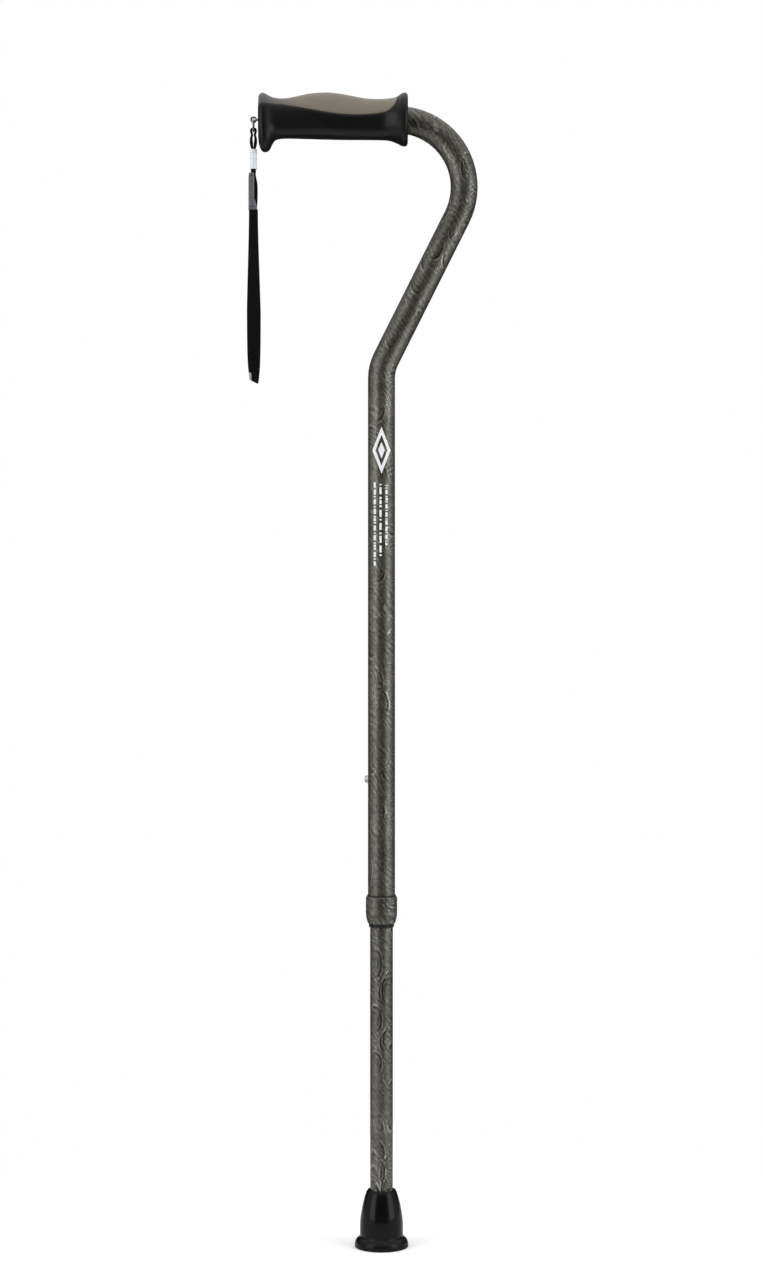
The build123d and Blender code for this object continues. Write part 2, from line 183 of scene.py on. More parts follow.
def printed_film(name):
    """A bronze-grey metallic film: mottled ground, patches of engraved hatching, paired arcs."""
    film = Finish(name, Specular_IOR_Level=0.3)
    where = film.place()
    x, y, z = film.parts(where)

    # Engraved hatching, in patches that lean one way or the other
    drift = film.noise(where, 70.0, 2.0) * 0.012
    lean_right = ((z + x * 1.4 - y * 0.6 + drift) * 2900.0).sin()
    lean_left = ((z - x * 1.6 + y * 0.8 + drift * 1.5) * 2400.0).sin()
    patch = film.noise(where, 48.0, 1.0)
    hatching = lean_right * patch.between(0.5, 0.56) + lean_left * (1 - patch.between(0.4, 0.46))

    # Broad diagonal streaks, two or three millimetres apart
    sweep = film.noise(where, 26.0, 2.0) * 0.03
    streaks = ((z * 0.7 + x + sweep) * 1500.0).sin() * film.noise(where, 90.0, 2.0).between(0.35, 0.7)

    # Arcs round scattered centres: a dark line with a light one outside it, facing its own way
    arcs = 0
    for scale, radius, left_out in ARC_CENTRES:
        cells = {"Vector": where, "Scale": scale, "Randomness": 1.0}
        centre = film.node("ShaderNodeTexVoronoi", None, cells, "Position")
        chance = film.node("ShaderNodeTexVoronoi", None, cells, "Color")
        outward = film.vector("MULTIPLY", film.vector("SUBTRACT", where, centre), ARC_SQUASH)
        reach = film.vector("LENGTH", outward, output="Value")
        facing = film.vector("MULTIPLY_ADD", chance, (1, 1, 0.3), (-0.5, -0.5, -0.15))
        ahead = film.vector("DOT_PRODUCT", outward, facing, output="Value")
        pick = film.node("ShaderNodeSeparateColor", None, {0: chance}, "Red")
        fading = ahead.between(-0.0002, 0.0008) * (pick > left_out)
        for outside, weight in ARC_LINES:
            line = 1 - (abs(reach - (radius + outside)) / ARC_WIDTH).between(0.3, 1.0)
            arcs = arcs + line * fading * weight
    arcs = arcs * film.noise(where, 120.0, 2.0).between(0.36, 0.5)

    mottle = film.noise(where, 1100.0, 5.0) - 0.5
    grain = film.noise(where, 420.0, 3.0) - 0.5
    cloud = film.noise(where, 34.0, 3.0) - 0.5
    print_tone = hatching * 0.2 + streaks * 0.16 + arcs * 0.4
    tone = 0.44 + print_tone + mottle * 0.8 + grain * 0.7 + cloud * 0.35
    colour = film.node("ShaderNodeValToRGB", {"stops": FILM_RAMP}, {0: tone})
    marks = printed_marks(x, y, z)
    film.drive(
        Base_Color=film.mix(marks, colour, WHITE_PRINT),
        Roughness=0.43 + mottle * 0.2 + marks * 0.15,
        Metallic=0.85 - marks * 0.85,
    )
    film.bump(hatching * 0.25 + arcs * 0.6 + mottle, 0.00004, 0.5)
    return film.material


LOZENGE_Z, LOZENGE_HALF_WIDTH, LOZENGE_HALF_HEIGHT = 0.665, 0.0076, 0.0195
PRINT_LINE_HALF_WIDTH = 0.0009
PRINT_LINES = (  # x, lower end, upper end, dashes' rate
    (-0.0056, 0.569, 0.639, 2300.0),
    (-0.0008, 0.575, 0.637, 1700.0),
    (0.0042, 0.586, 0.636, 2700.0),
)


def printed_marks(x, y, z):
    """Plain white print on the front of the upper tube: a lozenge over three broken lines."""
    front = y < -0.002
    lozenge = abs(x) / LOZENGE_HALF_WIDTH + abs(z - LOZENGE_Z) / LOZENGE_HALF_HEIGHT
    outline = (lozenge < 1.0) * (lozenge > 0.66) + (lozenge < 0.36)
    lines = 0
    for across, low, high, rate in PRINT_LINES:
        dashes = ((z * rate).sin() + (z * rate * 0.37).sin()) > -0.45
        lines = lines + (abs(x - across) < PRINT_LINE_HALF_WIDTH) * (z > low) * (z < high) * dashes
    return front * (outline + lines)


def satin_black(name, roughness=0.42, tone=0.018, grain=2600.0):
    """Moulded black plastic with a fine eggshell grain."""
    black = Finish(name, Specular_IOR_Level=0.18)
    where = black.place()
    fine = black.noise(where, grain, 2.0)
    cloud = black.noise(where, 40.0, 3.0)
    shade = (tone * 0.75, tone * 0.75, tone * 0.8), (tone * 1.35, tone * 1.35, tone * 1.45)
    black.drive(
        Base_Color=black.mix(cloud, *[(*c, 1) for c in shade]),
        Roughness=roughness + (cloud - 0.5) * 0.16 + (fine - 0.5) * 0.1,
    )
    black.bump(fine, 0.00006, 0.5)
    return black.material


def gel_grey():
    """Soft taupe inlay with a matt skin. Its free end carries a painted shade, a darker and cooler grey."""
    gel = Finish("palm_grey", IOR=1.46, Sheen_Weight=0.15, Sheen_Roughness=0.4)
    where = gel.place()
    [x] = gel.parts(where, "X")
    # Painted shade: the free end is painted a dark cool grey, fading into the taupe between x = -0.1 and x =
    # -0.062.
    clear_of_painted_shade = x.between(-0.1, -0.062)
    base = gel.mix(clear_of_painted_shade, (0.06, 0.064, 0.068, 1), (0.176, 0.152, 0.118, 1))
    cloud = gel.noise(where, 70.0, 4.0)
    fine = gel.noise(where, 3200.0, 2.0)
    gel.drive(
        Base_Color=gel.mix((cloud - 0.35) * 0.3, base, (0.07, 0.065, 0.06, 1)),
        Roughness=0.6 + (fine - 0.5) * 0.2,
    )
    gel.bump(fine, 0.00008, 0.6)
    return gel.material


def moulded_rubber():
    rubber = Finish("black_rubber", Specular_IOR_Level=0.05, Coat_Roughness=0.05)
    where = rubber.place()
    cloud = rubber.noise(where, 60.0, 3.0)
    fine = rubber.noise(where, 1800.0, 3.0)
    [z] = rubber.parts(where, "Z")
    dust = (1 - z.between(0.001, 0.009)) * cloud
    rubber.drive(
        Base_Color=rubber.mix(dust * 0.35, (0.0025, 0.0025, 0.003, 1), (0.022, 0.021, 0.02, 1)),
        Roughness=0.26 + (cloud - 0.5) * 0.12 + dust * 0.3,
        Coat_Weight=0.15 - dust * 0.15,
    )
    rubber.bump(fine, 0.00004, 0.35)
    return rubber.material


def plated_steel():
    steel = Finish("bright_steel", Metallic=1.0)
    where = steel.place()
    cloud = steel.noise(where, 500.0, 3.0)
    fine = steel.noise(where, 5200.0, 2.0)
    steel.drive(
        Base_Color=steel.mix(cloud, (0.2, 0.2, 0.2, 1), (0.42, 0.42, 0.42, 1)),
        Roughness=0.16 + cloud * 0.16,
    )
    steel.bump(fine, 0.00002, 0.4)
    return steel.material


def woven_black(name, across, along, tone=0.003, stripe=None):
    """Woven nylon. The threads are counted on the strap's own unrolled width and length.

    stripe holds (left, right, start, end) of a bright grey patch painted over the threads, in the same
    measures.
    """
    weave = Finish(name, Specular_IOR_Level=0.06, Sheen_Weight=0.01, Sheen_Roughness=0.35)
    unrolled = weave.node("ShaderNodeTexCoord", output="UV")
    u, v = weave.parts(unrolled, "XY")
    warp = abs((u * (math.pi / across)).sin())
    weft = abs((v * (math.pi / along) + u * (math.pi / across)).sin())
    threads = warp * weft
    fuzz = weave.noise(weave.place(), 2600.0, 3.0)
    colour = weave.mix(
        threads * 0.7 + fuzz * 0.3,
        (tone * 0.3, tone * 0.3, tone * 0.3, 1),
        (tone * 1.7, tone * 1.7, tone * 1.8, 1),
    )
    if stripe:
        left, right, start, end = stripe
        inside = (u > left) * (u < right) * (v > start) * (v < end)
        colour = weave.mix(inside * (0.55 + threads * 0.45), colour, (0.5, 0.52, 0.53, 1))
    weave.drive(Base_Color=colour, Roughness=0.72 - threads * 0.2)
    weave.bump(threads * 0.8 + fuzz * 0.4, 0.00012, 0.8)
    return weave.material


def reflective_tape():
    """Grey retroreflective cloth: fine glass beads on a woven ground."""
    tape = Finish("band_grey", IOR=1.5)
    where = tape.place()
    beads = tape.noise(where, 4200.0, 2.0)
    [z] = tape.parts(where, "Z")
    ribs = abs((z * (math.pi / 0.0006)).sin())
    cloud = tape.noise(where, 260.0, 3.0)
    tape.drive(
        Base_Color=tape.mix(beads * 0.6 + cloud * 0.4, (0.06, 0.062, 0.07, 1), (0.22, 0.222, 0.24, 1)),
        Roughness=0.42 + (cloud - 0.5) * 0.2,
        Metallic=0.35 + beads * 0.2,
    )
    tape.bump(ribs * 0.5 + beads, 0.00005, 0.6)
    return tape.material


def frosted_clear():
    clear = Finish("clasp_clear", IOR=1.49, Transmission_Weight=0.2, Subsurface_Weight=0.1)
    where = clear.place()
    cloud = clear.noise(where, 420.0, 3.0)
    fine = clear.noise(where, 3800.0, 2.0)
    clear.drive(
        Base_Color=clear.mix(cloud, (0.86, 0.9, 0.915, 1), (0.93, 0.96, 0.965, 1)),
        Roughness=0.3 + (cloud - 0.5) * 0.1,
    )
    clear.bump(fine, 0.00003, 0.4)
    return clear.material


# A bright grey patch on the webbing, only over a short length near the bottom of its loop.
BRIGHT_GREY_PATCH = (-0.0042, -0.0018, 0.139, 0.1465)
FINISHES = {
    "tube_film": printed_film("tube_film"),
    "black_plastic": satin_black("black_plastic", 0.45, 0.012),
    "grip_black": satin_black("grip_black", 0.35, 0.0048, 2200.0),
    "palm_grey": gel_grey(),
    "black_rubber": moulded_rubber(),
    "bright_steel": plated_steel(),
    "webbing": woven_black("webbing", 0.00062, 0.00110, stripe=BRIGHT_GREY_PATCH),
    "cord_black": woven_black("cord_black", 0.0005, 0.0005, 0.004),
    "band_grey": reflective_tape(),
    "clasp_clear": frosted_clear(),
}
NODE_FINISH = {
    "tube_film": ["upper_tube", "lower_tube", "lock_nut"],
    "black_plastic": ["tube_top_bush", "collet_bushing", "grip_core", "grip_end_plug"],
    "grip_black": ["grip_body"],
    "palm_grey": ["palm_rest"],
    "black_rubber": ["rubber_tip"],
    "bright_steel": ["snap_button", "spring_clip", "tip_washer", "strap_eye", "strap_ring"],
    "cord_black": ["cord_knot", "cord_loop", "strap_neck", "wrist_webbing"],
    "band_grey": ["reflective_band"],
    "clasp_clear": ["clasp_cap", "clasp_socket"],
}


def paint(piece, finish):
    piece.data.materials.clear()
    piece.data.materials.append(FINISHES[finish])


for finish_name, node_names in NODE_FINISH.items():
    for node_name in node_names:
        cad_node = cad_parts[node_name]
        for slot_index in range(len(cad_node.material_slots)):
            cad_node.material_slots[slot_index].link = "OBJECT"
            cad_node.material_slots[slot_index].material = FINISHES[finish_name]


# ---------------------------------------------------------------- mesh writing
def new_piece(name, vertices, faces, finish, body, unrolled=None):
    """A smooth-shaded mesh that rides on a body. unrolled holds a (u, v) for each vertex."""
    mesh = bpy.data.meshes.new(name)
    mesh.from_pydata([tuple(v) for v in vertices], [], faces)
    mesh.polygons.foreach_set("use_smooth", [True] * len(mesh.polygons))
    if unrolled:
        layer = mesh.uv_layers.new(name="unrolled")
        for loop in mesh.loops:
            layer.data[loop.index].uv = unrolled[loop.vertex_index]
    mesh.update()
    piece = bpy.data.objects.new(name, mesh)
    bpy.context.scene.collection.objects.link(piece)
    paint(piece, finish)
    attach(piece, body)
    return piece


def grid_faces(rows, columns, closed_columns=True, start=0):
    """Quads over a grid of vertices that is stored row by row."""
    faces = []
    last = columns if closed_columns else columns - 1
    for row in range(rows - 1):
        for column in range(last):
            after = (column + 1) % columns
            near, far = start + row * columns, start + (row + 1) * columns
            faces.append((near + column, near + after, far + after, far + column))
    return faces


def smooth_line(points, resolution=16):
    """Points along the NURBS spline that has these control points."""
    curve = bpy.data.curves.new("line", "CURVE")
    curve.dimensions = "3D"
    curve.resolution_u = resolution
    spline = curve.splines.new("NURBS")
    spline.points.add(len(points) - 1)
    for control, point in zip(spline.points, points):
        control.co = (*point, 1)
    spline.order_u = 3
    spline.use_endpoint_u = True
    holder = bpy.data.objects.new("line", curve)
    mesh = bpy.data.meshes.new_from_object(holder)
    line = [v.co.copy() for v in mesh.vertices]
    bpy.data.objects.remove(holder)
    bpy.data.curves.remove(curve)
    bpy.data.meshes.remove(mesh)
    return line


def even_line(points, step):
    """The same line with its points an even step apart."""
    spans = [(b - a).length for a, b in zip(points, points[1:])]
    count = max(2, round(sum(spans) / step))
    result, index, passed = [], 0, 0.0
    for number in range(count + 1):
        goal = sum(spans) * number / count
        while index < len(spans) - 1 and passed + spans[index] < goal:
            passed += spans[index]
            index += 1
        share = (goal - passed) / spans[index] if spans[index] else 0.0
        result.append(points[index].lerp(points[index + 1], min(1.0, share)))
    return result


def line_length(points):
    return sum((b - a).length for a, b in zip(points, points[1:]))


def frames_along(points, side):
    """A (point, tangent, side, normal) for each point, with side kept near the given direction."""
    frames = []
    for index, point in enumerate(points):
        before, after = points[max(0, index - 1)], points[min(len(points) - 1, index + 1)]
        tangent = (after - before).normalized()
        level = (side - tangent * side.dot(tangent)).normalized()
        frames.append((point, tangent, level, tangent.cross(level)))
    return frames


# ---------------------------------------------------------------- wrist strap
STRAP_X = -0.1072
BAND_END_Z = 0.8670
CLASP_TOP_Z = 0.9177
CLASP_RADIUS = 3.05  # millimetres, as are the sizes below
CLASP_TOP, CLASP_END = 917.7, 901.0
BAND_TOP, BAND_BOTTOM = 898.0, 867.0
WEBBING_HALF_THICKNESS = 0.62
RIB_PITCH, RIB_HEIGHT = 0.55, 0.06

# The middle of the webbing, as (y, z) from the band's lower end
WEBBING_ROUTE = [
    (-1.3, 0.0), (-1.3, -12.0), (-5.6, -34.0), (-10.0, -62.0), (-12.4, -92.0), (-10.6, -119.0),
    (-5.0, -139.0), (1.6, -144.6), (8.2, -138.0), (12.6, -117.0), (12.8, -89.0), (9.6, -60.0),
    (4.9, -33.0), (1.3, -12.0), (1.3, 0.0),
]
# The middle of the cord, as (x, z) from the clasp's top
CORD_ROUTE = [
    (-0.95, -0.7), (-0.95, 1.2), (-1.45, 3.0), (-1.75, 6.0), (-2.0, 9.2), (-0.95, 12.2), (-2.0, 14.6),
    (-1.8, 17.2), (1.8, 17.3), (2.0, 14.6), (0.95, 12.2), (2.0, 9.2), (1.75, 6.0), (1.45, 3.0),
    (0.95, 1.2), (0.95, -0.7),
]


def wrist_webbing():
    """One flat length of webbing, gathered into the band, its loop turned a little at the bottom."""
    route = [Vector((STRAP_X, y * MM, BAND_END_Z + z * MM)) for y, z in WEBBING_ROUTE]
    line = even_line(smooth_line(route), RIB_PITCH * MM)
    length = line_length(line)
    rim = 28
    vertices, unrolled = [], []
    for index, (point, tangent, side, normal) in enumerate(frames_along(line, Vector((1, 0, 0)))):
        along = length * index / (len(line) - 1)
        share = along / length
        opened = min(1.0, min(along, length - along) / 0.085) ** 1.3
        turned = math.exp(-(((share - 0.5) / 0.05) ** 2))
        side = (side - Vector((0, 0, 0.5 * turned))).normalized()
        normal = tangent.cross(side)
        half_width = (3.7 + 1.0 * opened - 0.6 * turned) * MM
        lean = (0.35 - 0.5 * math.sin(share * math.tau)) * MM * opened
        for corner in range(rim):
            angle = math.tau * corner / rim
            across = math.copysign(abs(math.cos(angle)) ** 0.55, math.cos(angle))
            thick = math.copysign(abs(math.sin(angle)) ** 0.45, math.sin(angle))
            rib = RIB_HEIGHT * MM * math.sin(along / (RIB_PITCH * MM) * math.pi) * abs(thick)
            depth = thick * WEBBING_HALF_THICKNESS * MM + rib * thick
            offset = side * (across * half_width + lean) + normal * depth
            vertices.append(point + offset)
            unrolled.append((across * half_width, along))
    faces = grid_faces(len(line), rim)
    faces.append(tuple(range(rim))[::-1])
    faces.append(tuple(range(len(vertices) - rim, len(vertices))))
    piece = new_piece(
        "wrist_webbing_loop", vertices, faces, "webbing", "strap", unrolled
    )
    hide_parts("wrist_webbing")


def cord_loop():
    """A thin braided cord: up from the clasp, over the ring's lower wire and down again."""
    route = [Vector((STRAP_X + x * MM, 0, CLASP_TOP_Z + z * MM)) for x, z in CORD_ROUTE]
    line = even_line(smooth_line(route), 0.12 * MM)
    length = line_length(line)
    rim = 32
    strands = 8
    vertices, unrolled = [], []
    for index, (point, tangent, side, normal) in enumerate(frames_along(line, Vector((0, 1, 0)))):
        along = length * index / (len(line) - 1)
        twist = along / (4.2 * MM) * math.tau
        from_end = min(along, length - along) / MM
        swell = 1.0 + 0.4 * math.exp(-(((from_end - 6.0) / 3.4) ** 2))
        for corner in range(rim):
            angle = math.tau * corner / rim
            braid = math.sin(strands / 2 * angle + twist) * math.sin(strands / 2 * angle - twist)
            radius = (swell + 0.09 * braid) * MM
            offset = side * math.cos(angle) * radius + normal * math.sin(angle) * radius
            vertices.append(point + offset)
            unrolled.append((angle * 0.9 * MM, along))
    faces = grid_faces(len(line), rim)
    faces.append(tuple(range(rim))[::-1])
    faces.append(tuple(range(len(vertices) - rim, len(vertices))))
    piece = new_piece(
        "braided_cord", vertices, faces, "cord_black", "clasp", unrolled
    )
    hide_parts("cord_loop")


# ---------------------------------------------------------------- turned pieces
def lathe(name, profile, finish, body, slot, segments=96, flutes=0, depth=0.0):
    """Turn a closed profile of (radius, z) in millimetres about the strap's axis."""
    vertices = []
    for radius, z in profile:
        for step in range(segments):
            angle = math.tau * step / segments
            cut = depth * (0.5 + 0.5 * math.cos(flutes * angle)) if flutes and radius > 2.4 else 0.0
            reach = (radius - cut) * MM
            vertices.append((STRAP_X + reach * math.cos(angle), reach * math.sin(angle), z * MM))
    rows = len(profile)
    faces = grid_faces(rows, segments)
    for column in range(segments):
        after = (column + 1) % segments
        last = (rows - 1) * segments
        faces.append((last + column, last + after, after, column))
    return new_piece(name, vertices, faces, finish, body)


def softened(profile, radius, steps=4):
    """The same closed profile with its corners rounded."""
    result = []
    count = len(profile)
    for index, corner in enumerate(profile):
        corner = Vector(corner)
        before = Vector(profile[index - 1]) - corner
        after = Vector(profile[(index + 1) % count]) - corner
        reach = min(radius, before.length * 0.45, after.length * 0.45)
        start, end = corner + before.normalized() * reach, corner + after.normalized() * reach
        for step in range(steps + 1):
            share = step / steps
            result.append(start.lerp(corner, share).lerp(corner.lerp(end, share), share))
    return [tuple(point) for point in result]


def clasp():
    """A two-part barrel clasp with shallow flutes, and thread whipped round the strap's neck."""
    fluted = {"flutes": 12, "depth": 0.14}
    cap = [
        (2.02, CLASP_TOP), (CLASP_RADIUS, CLASP_TOP), (CLASP_RADIUS, 909.5), (2.4, 909.5), (2.4, 916.4),
        (2.02, 916.4),
    ]
    upper = lathe("clasp_upper", softened(cap, 0.45), "clasp_clear", "clasp", "clasp_clear", **fluted)
    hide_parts("clasp_cap")
    socket = [
        (0.02, 911.3), (2.28, 911.3), (2.28, 909.2), (CLASP_RADIUS, 909.2), (CLASP_RADIUS, CLASP_END),
        (2.2, CLASP_END), (2.2, 908.7), (0.02, 908.7),
    ]
    lower = lathe("clasp_lower", softened(socket, 0.4), "clasp_clear", "strap", "clasp_clear", **fluted)
    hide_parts("clasp_socket")
    whipping = [(0.02, 908.6), (2.0, 908.6)]
    for turn in range(14):
        top = 908.3 - turn * 0.76
        whipping += [(2.1, top), (2.16, top - 0.4), (2.0, top - 0.7)]
    whipping += [(1.9, 897.6), (0.02, 897.6)]
    neck = lathe("neck_whipping", whipping, "cord_black", "strap", "strap_black", segments=48)
    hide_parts("strap_neck")


def slab(name, outline, levels, finish, body):
    """Loft one closed outline per level. outline(level) gives (x, y) points in millimetres."""
    rings = [outline(level) for level in levels]
    columns = len(rings[0])
    vertices = [
        (STRAP_X + x * MM, y * MM, level * MM)
        for level, ring in zip(levels, rings)
        for x, y in ring
    ]
    faces = grid_faces(len(levels), columns)
    faces.append(tuple(range(columns))[::-1])
    faces.append(tuple(range(len(vertices) - columns, len(vertices))))
    return new_piece(name, vertices, faces, finish, body)


def band():
    """Grey reflective tape folded round both layers of webbing, open along one edge."""
    rows = 44
    levels = [BAND_BOTTOM + (BAND_TOP - BAND_BOTTOM) * row / rows for row in range(rows + 1)]

    def tape_ring(level):
        share = (level - BAND_BOTTOM) / (BAND_TOP - BAND_BOTTOM)
        fold = 1 - min(1.0, share / 0.3)
        front_right = 0.7 + 2.7 * fold**0.7 - 0.5 * max(0.0, share - 0.75)
        back_right = 3.0 - 1.8 * max(0.0, (share - 0.7) / 0.3) ** 1.5
        crease = 0.08 * math.sin(level * 3.1)
        left = -3.75 + 0.5 * max(0.0, (share - 0.85) / 0.15) ** 2
        front, back = -2.15 + crease, 2.1
        outer = [(front_right, front)]
        for step in range(5, 0, -1):
            across = left + (front_right - left) * step / 6
            outer.append((across, front - 0.1 * math.sin(step + level)))
        for step in range(9):
            angle = math.pi * step / 8
            outer.append((left - 0.45 * math.sin(angle), -2.12 * math.cos(angle)))
        outer += [(left + (back_right - left) * step / 6, back) for step in range(1, 7)]
        inner = [(x * 0.93 - 0.02, y * 0.8) for x, y in reversed(outer)]
        return outer + inner

    def core_ring(level):
        bulge = math.sin(math.pi * min(1.0, max(0.0, (895.0 - level) / 28.0)))
        narrow = max(0.0, (level - 890.0) / 8.0)
        half = 3.1 - 1.1 * narrow
        ring = []
        for step in range(28):
            angle = math.tau * step / 28
            across = math.copysign(abs(math.cos(angle)) ** 0.6, math.cos(angle))
            deep = math.copysign(abs(math.sin(angle)) ** 0.5, math.sin(angle))
            reach = half + (0.75 * bulge if across > 0 else 0.0)
            notch = 0.35 * max(0.0, 1 - abs(deep) * 3) * (across > 0.5)
            ring.append((across * reach - 0.2 - notch, deep * 1.62))
        return ring

    tape = slab("reflective_tape", tape_ring, levels, "band_grey", "strap")
    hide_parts("reflective_band")
    core_levels = [BAND_BOTTOM - 1.2, *levels[:-1], BAND_TOP - 0.1]
    slab("webbing_ends", core_ring, core_levels, "cord_black", "strap")


def stitches():
    """Two short rows of thread across the tape."""
    vertices, faces = [], []
    ring, rows = 8, 7
    for level in (869.6, 895.4):
        for number in range(5):
            middle = Vector((STRAP_X + (-3.2 + number * 0.85) * MM, -2.24 * MM, level * MM))
            start = len(vertices)
            for row in range(rows):
                share = row / (rows - 1)
                bow = math.sin(math.pi * share)
                place = middle + Vector(((share - 0.5) * 0.62, -0.14 * bow + 0.12, 0)) * MM
                thick = (0.05 + 0.12 * bow) * MM
                for corner in range(ring):
                    angle = math.tau * corner / ring
                    vertices.append(place + Vector((0, math.cos(angle), math.sin(angle))) * thick)
            faces += grid_faces(rows, ring, start=start)
            faces.append(tuple(range(start, start + ring))[::-1])
            faces.append(tuple(range(len(vertices) - ring, len(vertices))))
    new_piece("tape_stitches", vertices, faces, "cord_black", "strap")


# ---------------------------------------------------------------- grip
HANDLE_Z = 0.9425
GRIP_LEFT, GRIP_RIGHT = -102.8, 22.0
LEFT_EDGE, RIGHT_EDGE = 3.6, 3.0  # how far the ends are rounded
PALM_END = 13.9  # where the palm rest stops, before the right flange
PALM_DEPTH = 2.6
LEFT_ZONE = GRIP_LEFT + 16  # the sections stand closer together up to here
RIGHT_ZONE = 2.0  # and from here


def through(*points):
    """A smooth function of x through (x, value) points."""

    def slope(index):
        low, high = max(0, index - 1), min(len(points) - 1, index + 1)
        return (points[high][1] - points[low][1]) / (points[high][0] - points[low][0])

    def value(x):
        x = min(max(x, points[0][0]), points[-1][0])
        index = next(k for k in range(len(points) - 1) if x <= points[k + 1][0])
        (x0, y0), (x1, y1) = points[index], points[index + 1]
        width = x1 - x0
        t = (x - x0) / width
        rise = y0 * (1 + 2 * t) * (1 - t) ** 2 + y1 * t * t * (3 - 2 * t)
        return rise + width * (slope(index) * t * (1 - t) ** 2 - slope(index + 1) * t * t * (1 - t))

    return value


grip_top = through(
    (-102.8, 22.0), (-98.5, 22.0), (-95.1, 20.2), (-91.7, 18.5), (-86, 17.4), (-80, 17.4),
    (-73.3, 18.5), (-66.6, 20.0), (-59.9, 21.3), (-52, 22.0), (-43, 22.1), (-33, 20.9), (-19.7, 18.4),
    (-13, 17.2), (-5, 16.8), (4, 17.0), (10, 17.8), (13.8, 19.3), (16.3, 21.2), (19, 22.3), (22, 22.5),
)
grip_belly = through(
    (-102.8, 22.5), (-101.5, 24.6), (-99.8, 26.3), (-97.5, 26.9), (-95.1, 26.2), (-93.4, 24.5),
    (-91.7, 20.8), (-90.1, 18.0), (-88.4, 16.6), (-85, 15.7), (-78, 15.4), (-60, 15.7), (-33, 16.4),
    (0, 16.8), (7.1, 17.4), (13.8, 20.0), (16.3, 21.4), (18.5, 22.0), (22, 22.2),
)
grip_side = through(
    (-102.8, 17.6), (-98, 18.4), (-91, 16.0), (-84, 15.0), (-70, 15.4), (-50, 16.8), (-30, 16.0),
    (-10, 15.1), (-2, 15.5), (3, 16.4), (7.5, 18.2), (12, 20.3), (15.5, 21.5), (19, 22.2), (22, 22.4),
)
palm_line = through(
    (-103, 10.6), (-84, 10.0), (-73.5, 8.4), (-63, 6.3), (-52.5, 4.1), (-41.7, 2.2), (-30.8, 1.1),
    (-20, 0.9), (-10, 1.4), (1, 2.7), (6.5, 4.6), (10, 7.8), (12.2, 12.0), (PALM_END, 20.3),
)
squareness = through((-103, 2.2), (-90, 2.35), (-50, 2.45), (4, 2.3), (14, 2.0), (21.5, 2.0))


def end_inset(x):
    """How far the section draws in at the rounded ends."""
    for gap, radius in ((x - GRIP_LEFT, LEFT_EDGE), (GRIP_RIGHT - x, RIGHT_EDGE)):
        if gap < radius:
            return radius - math.sqrt(max(0.0, radius**2 - (radius - gap) ** 2))
    return 0.0


SEAM_HEIGHT = 0.12  # the mould's parting line under the grip


def grip_point(x, angle, sunk=0.0):
    """A point of the grip's skin. Angle 0 is the front, a quarter turn is the top."""
    drawn_in = sunk + end_inset(x)
    power = 2.0 / squareness(x)
    across, up = math.cos(angle), math.sin(angle)
    height = (grip_top(x) if up > 0 else grip_belly(x)) - drawn_in
    y = -math.copysign(abs(across) ** power, across) * (grip_side(x) - drawn_in)
    z = math.copysign(abs(up) ** power, up) * height
    if up < -0.9985 and GRIP_LEFT + 6 < x < GRIP_RIGHT - 3:
        z -= SEAM_HEIGHT
    return (x * MM, y * MM, HANDLE_Z + z * MM)


def palm_angle(x):
    """Where the parting line crosses the front of the section."""
    share = min(0.999, max(0.0, palm_line(x) / grip_top(x)))
    return math.asin(share ** (squareness(x) / 2)) if x < PALM_END else math.pi / 2 - 0.03


def palm_sunk(x):
    """Depth of the palm rest's seat. It runs out where the rest ends."""
    return PALM_DEPTH * min(1.0, max(0.0, (PALM_END - x) / 2.0)) ** 0.5


def spaced(low, high, count, crowd=1.0):
    """Stations from low to high, closer together at both ends."""
    places = []
    for index in range(count + 1):
        share = index / count
        eased = 0.5 - 0.5 * math.cos(math.pi * share)
        places.append(low + (high - low) * (share * (1 - crowd) + eased * crowd))
    return places


def grip_body():
    """The black body: its skin, the seat under the palm rest, and both ends."""
    stations = spaced(GRIP_LEFT, LEFT_ZONE, 26)[:-1]
    stations += spaced(LEFT_ZONE, RIGHT_ZONE, 44, 0.2)[:-1]
    stations += spaced(RIGHT_ZONE, GRIP_RIGHT, 44, 0.7)
    low_count, seat_count = 88, 36
    vertices = []
    for x in stations:
        edge = palm_angle(x)
        for step in range(low_count + 1):
            angle = math.pi - edge + (math.pi + 2 * edge) * step / low_count
            near_edge = min(step, low_count - step)
            groove = (0.4, 0.12, 0.0)[min(near_edge, 2)] if x < PALM_END else 0.0
            vertices.append(grip_point(x, angle, groove))
        for step in range(1, seat_count):
            angle = edge + (math.pi - 2 * edge) * step / seat_count
            vertices.append(grip_point(x, angle, palm_sunk(x)))
    columns = low_count + seat_count
    faces = grid_faces(len(stations), columns)
    rows = len(stations)

    def cap(first, x, rings):
        """Close an end with shrinking copies of its rim, the last one round the hole."""
        previous = first
        for share, radius, shift in rings:
            start = len(vertices)
            for column in range(columns):
                rim = Vector(vertices[first + column])
                flat = Vector((0, rim.y, rim.z - HANDLE_Z))
                goal = flat.normalized() * radius * MM
                place = flat.lerp(goal, share)
                vertices.append(((x + shift) * MM, place.y, HANDLE_Z + place.z))
            for column in range(columns):
                after = (column + 1) % columns
                quad = (previous + column, previous + after, start + after, start + column)
                faces.append(quad if x > 0 else quad[::-1])
            previous = start

    cap(0, GRIP_LEFT, [(0.25, 6, -0.05), (0.7, 6, -0.05), (1, 6.4, 0), (1, 5.6, 0.5), (1, 1.25, 0.5)])
    last = (rows - 1) * columns
    cap(last, GRIP_RIGHT, [(0.3, 13, 0.05), (0.85, 13, 0), (1, 12.6, -0.3), (1, 11.12, -0.9), (1, 11.12, -8)])
    piece = new_piece("grip_moulding", vertices, faces, "grip_black", "upper")
    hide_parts("grip_body")


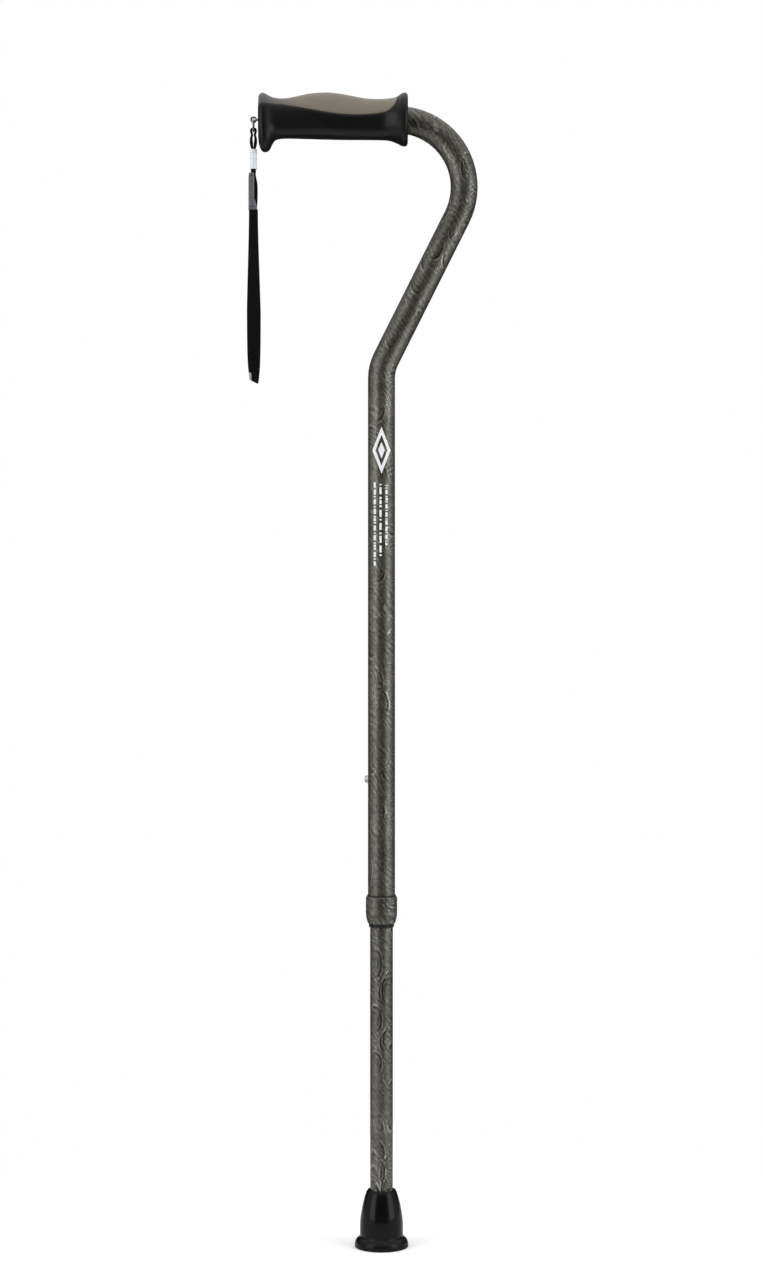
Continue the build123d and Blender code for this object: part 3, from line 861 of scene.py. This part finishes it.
def palm_rest():
    """The soft inlay: a closed slab that fills its seat, with its rim rolled in."""
    stations = spaced(GRIP_LEFT + 0.15, LEFT_ZONE, 26)[:-1]
    stations += spaced(LEFT_ZONE, RIGHT_ZONE, 44, 0.2)[:-1]
    stations += spaced(RIGHT_ZONE, PALM_END - 0.15, 34, 0.7)
    count = 52
    vertices = []
    for x in stations:
        edge = palm_angle(x) + 0.012
        for step in range(count + 1):
            angle = edge + (math.pi - 2 * edge) * step / count
            near_edge = min(step, count - step)
            vertices.append(grip_point(x, angle, (0.5, 0.16, 0.03, 0.0)[min(near_edge, 3)]))
        for step in range(count, -1, -1):
            angle = edge + (math.pi - 2 * edge) * step / count
            vertices.append(grip_point(x, angle, max(0.55, palm_sunk(x) - 0.05)))
    columns = 2 * (count + 1)
    faces = [face[::-1] for face in grid_faces(len(stations), columns)]
    for start, flip in ((0, False), ((len(stations) - 1) * columns, True)):
        for step in range(count):
            outer, inner = start + step, start + columns - 1 - step
            quad = (outer, outer + 1, inner - 1, inner)
            faces.append(quad[::-1] if flip else quad)
    piece = new_piece("palm_inlay", vertices, faces, "palm_grey", "upper")
    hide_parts("palm_rest")


clasp()
band()
stitches()
wrist_webbing()
cord_loop()
grip_body()
palm_rest()


# ---------------------------------------------------------------- studio
FLOOR_RADIUS, FLOOR_Z = 0.45, -0.0002
SOFT_BOXES = ((-1, 54, 10.0), (1, 61, 11.0))  # side, degrees from the camera, watts
SOFT_BOX_REACH, SOFT_BOX_HEIGHT = 1.4, 0.76


def studio():
    """A pale round floor, a white surround, a soft light above and two soft boxes in front."""
    count = 96
    rim = [math.tau * step / count for step in range(count)]
    corners = [(FLOOR_RADIUS * math.cos(angle), FLOOR_RADIUS * math.sin(angle), FLOOR_Z) for angle in rim]
    mesh = bpy.data.meshes.new("floor")
    mesh.from_pydata(corners, [], [tuple(range(count))])
    floor = bpy.data.objects.new("floor", mesh)
    bpy.context.scene.collection.objects.link(floor)
    pale = Finish("pale_floor", Roughness=0.9)
    cloud = pale.noise(pale.place(), 3.0, 2.0)
    pale.drive(Base_Color=pale.mix(cloud, (0.87, 0.87, 0.87, 1), (0.89, 0.89, 0.89, 1)))
    mesh.materials.append(pale.material)

    world = bpy.data.worlds.new("studio")
    bpy.context.scene.world = world
    world.use_nodes = True
    sky = NodeSheet(world.node_tree)
    x, y, z = sky.parts(sky.node("ShaderNodeTexCoord", output="Generated"))
    turn = sky.maths("ARCTAN2", abs(x), 0 - y)
    side = turn.between(0.45, 0.85) * (1 - turn.between(1.75, 2.15))
    above = z.between(0.35, 0.8)
    light = (0.05 + side * 0.8) * (1 - above) + above * 1.45
    seen = sky.node("ShaderNodeLightPath", output="Is Camera Ray")
    strength = light * (1 - seen) + seen * 1.0
    ground = sky.node("ShaderNodeBackground", None, {"Color": (1, 1, 1, 1), "Strength": strength})
    out = sky.tree.nodes.new("ShaderNodeOutputWorld")
    sky.tree.links.new(ground.socket, out.inputs[0])

    # Two tall soft boxes in front of the shaft, one to each side
    for side_sign, azimuth, power in SOFT_BOXES:
        lamp = bpy.data.lights.new("soft_box", "AREA")
        lamp.shape = "RECTANGLE"
        lamp.size, lamp.size_y = 0.8, 1.5
        lamp.energy = power
        holder = bpy.data.objects.new("soft_box", lamp)
        bpy.context.scene.collection.objects.link(holder)
        bearing = math.radians(azimuth) * side_sign
        across, ahead = SOFT_BOX_REACH * math.sin(bearing), -SOFT_BOX_REACH * math.cos(bearing)
        holder.location = (across, ahead, SOFT_BOX_HEIGHT)
        holder.rotation_euler = (math.radians(90), 0, bearing)
        holder.visible_camera = False


def camera():
    data = bpy.data.cameras.new("camera")
    data.lens = 67.2
    data.sensor_width = 36.0
    holder = bpy.data.objects.new("camera", data)
    bpy.context.scene.collection.objects.link(holder)
    holder.location = (0.0, -2.0, 0.507)
    holder.rotation_euler = (math.radians(90), 0, 0)
    bpy.context.scene.camera = holder
    bpy.context.scene.view_settings.view_transform = "Standard"


studio()
camera()
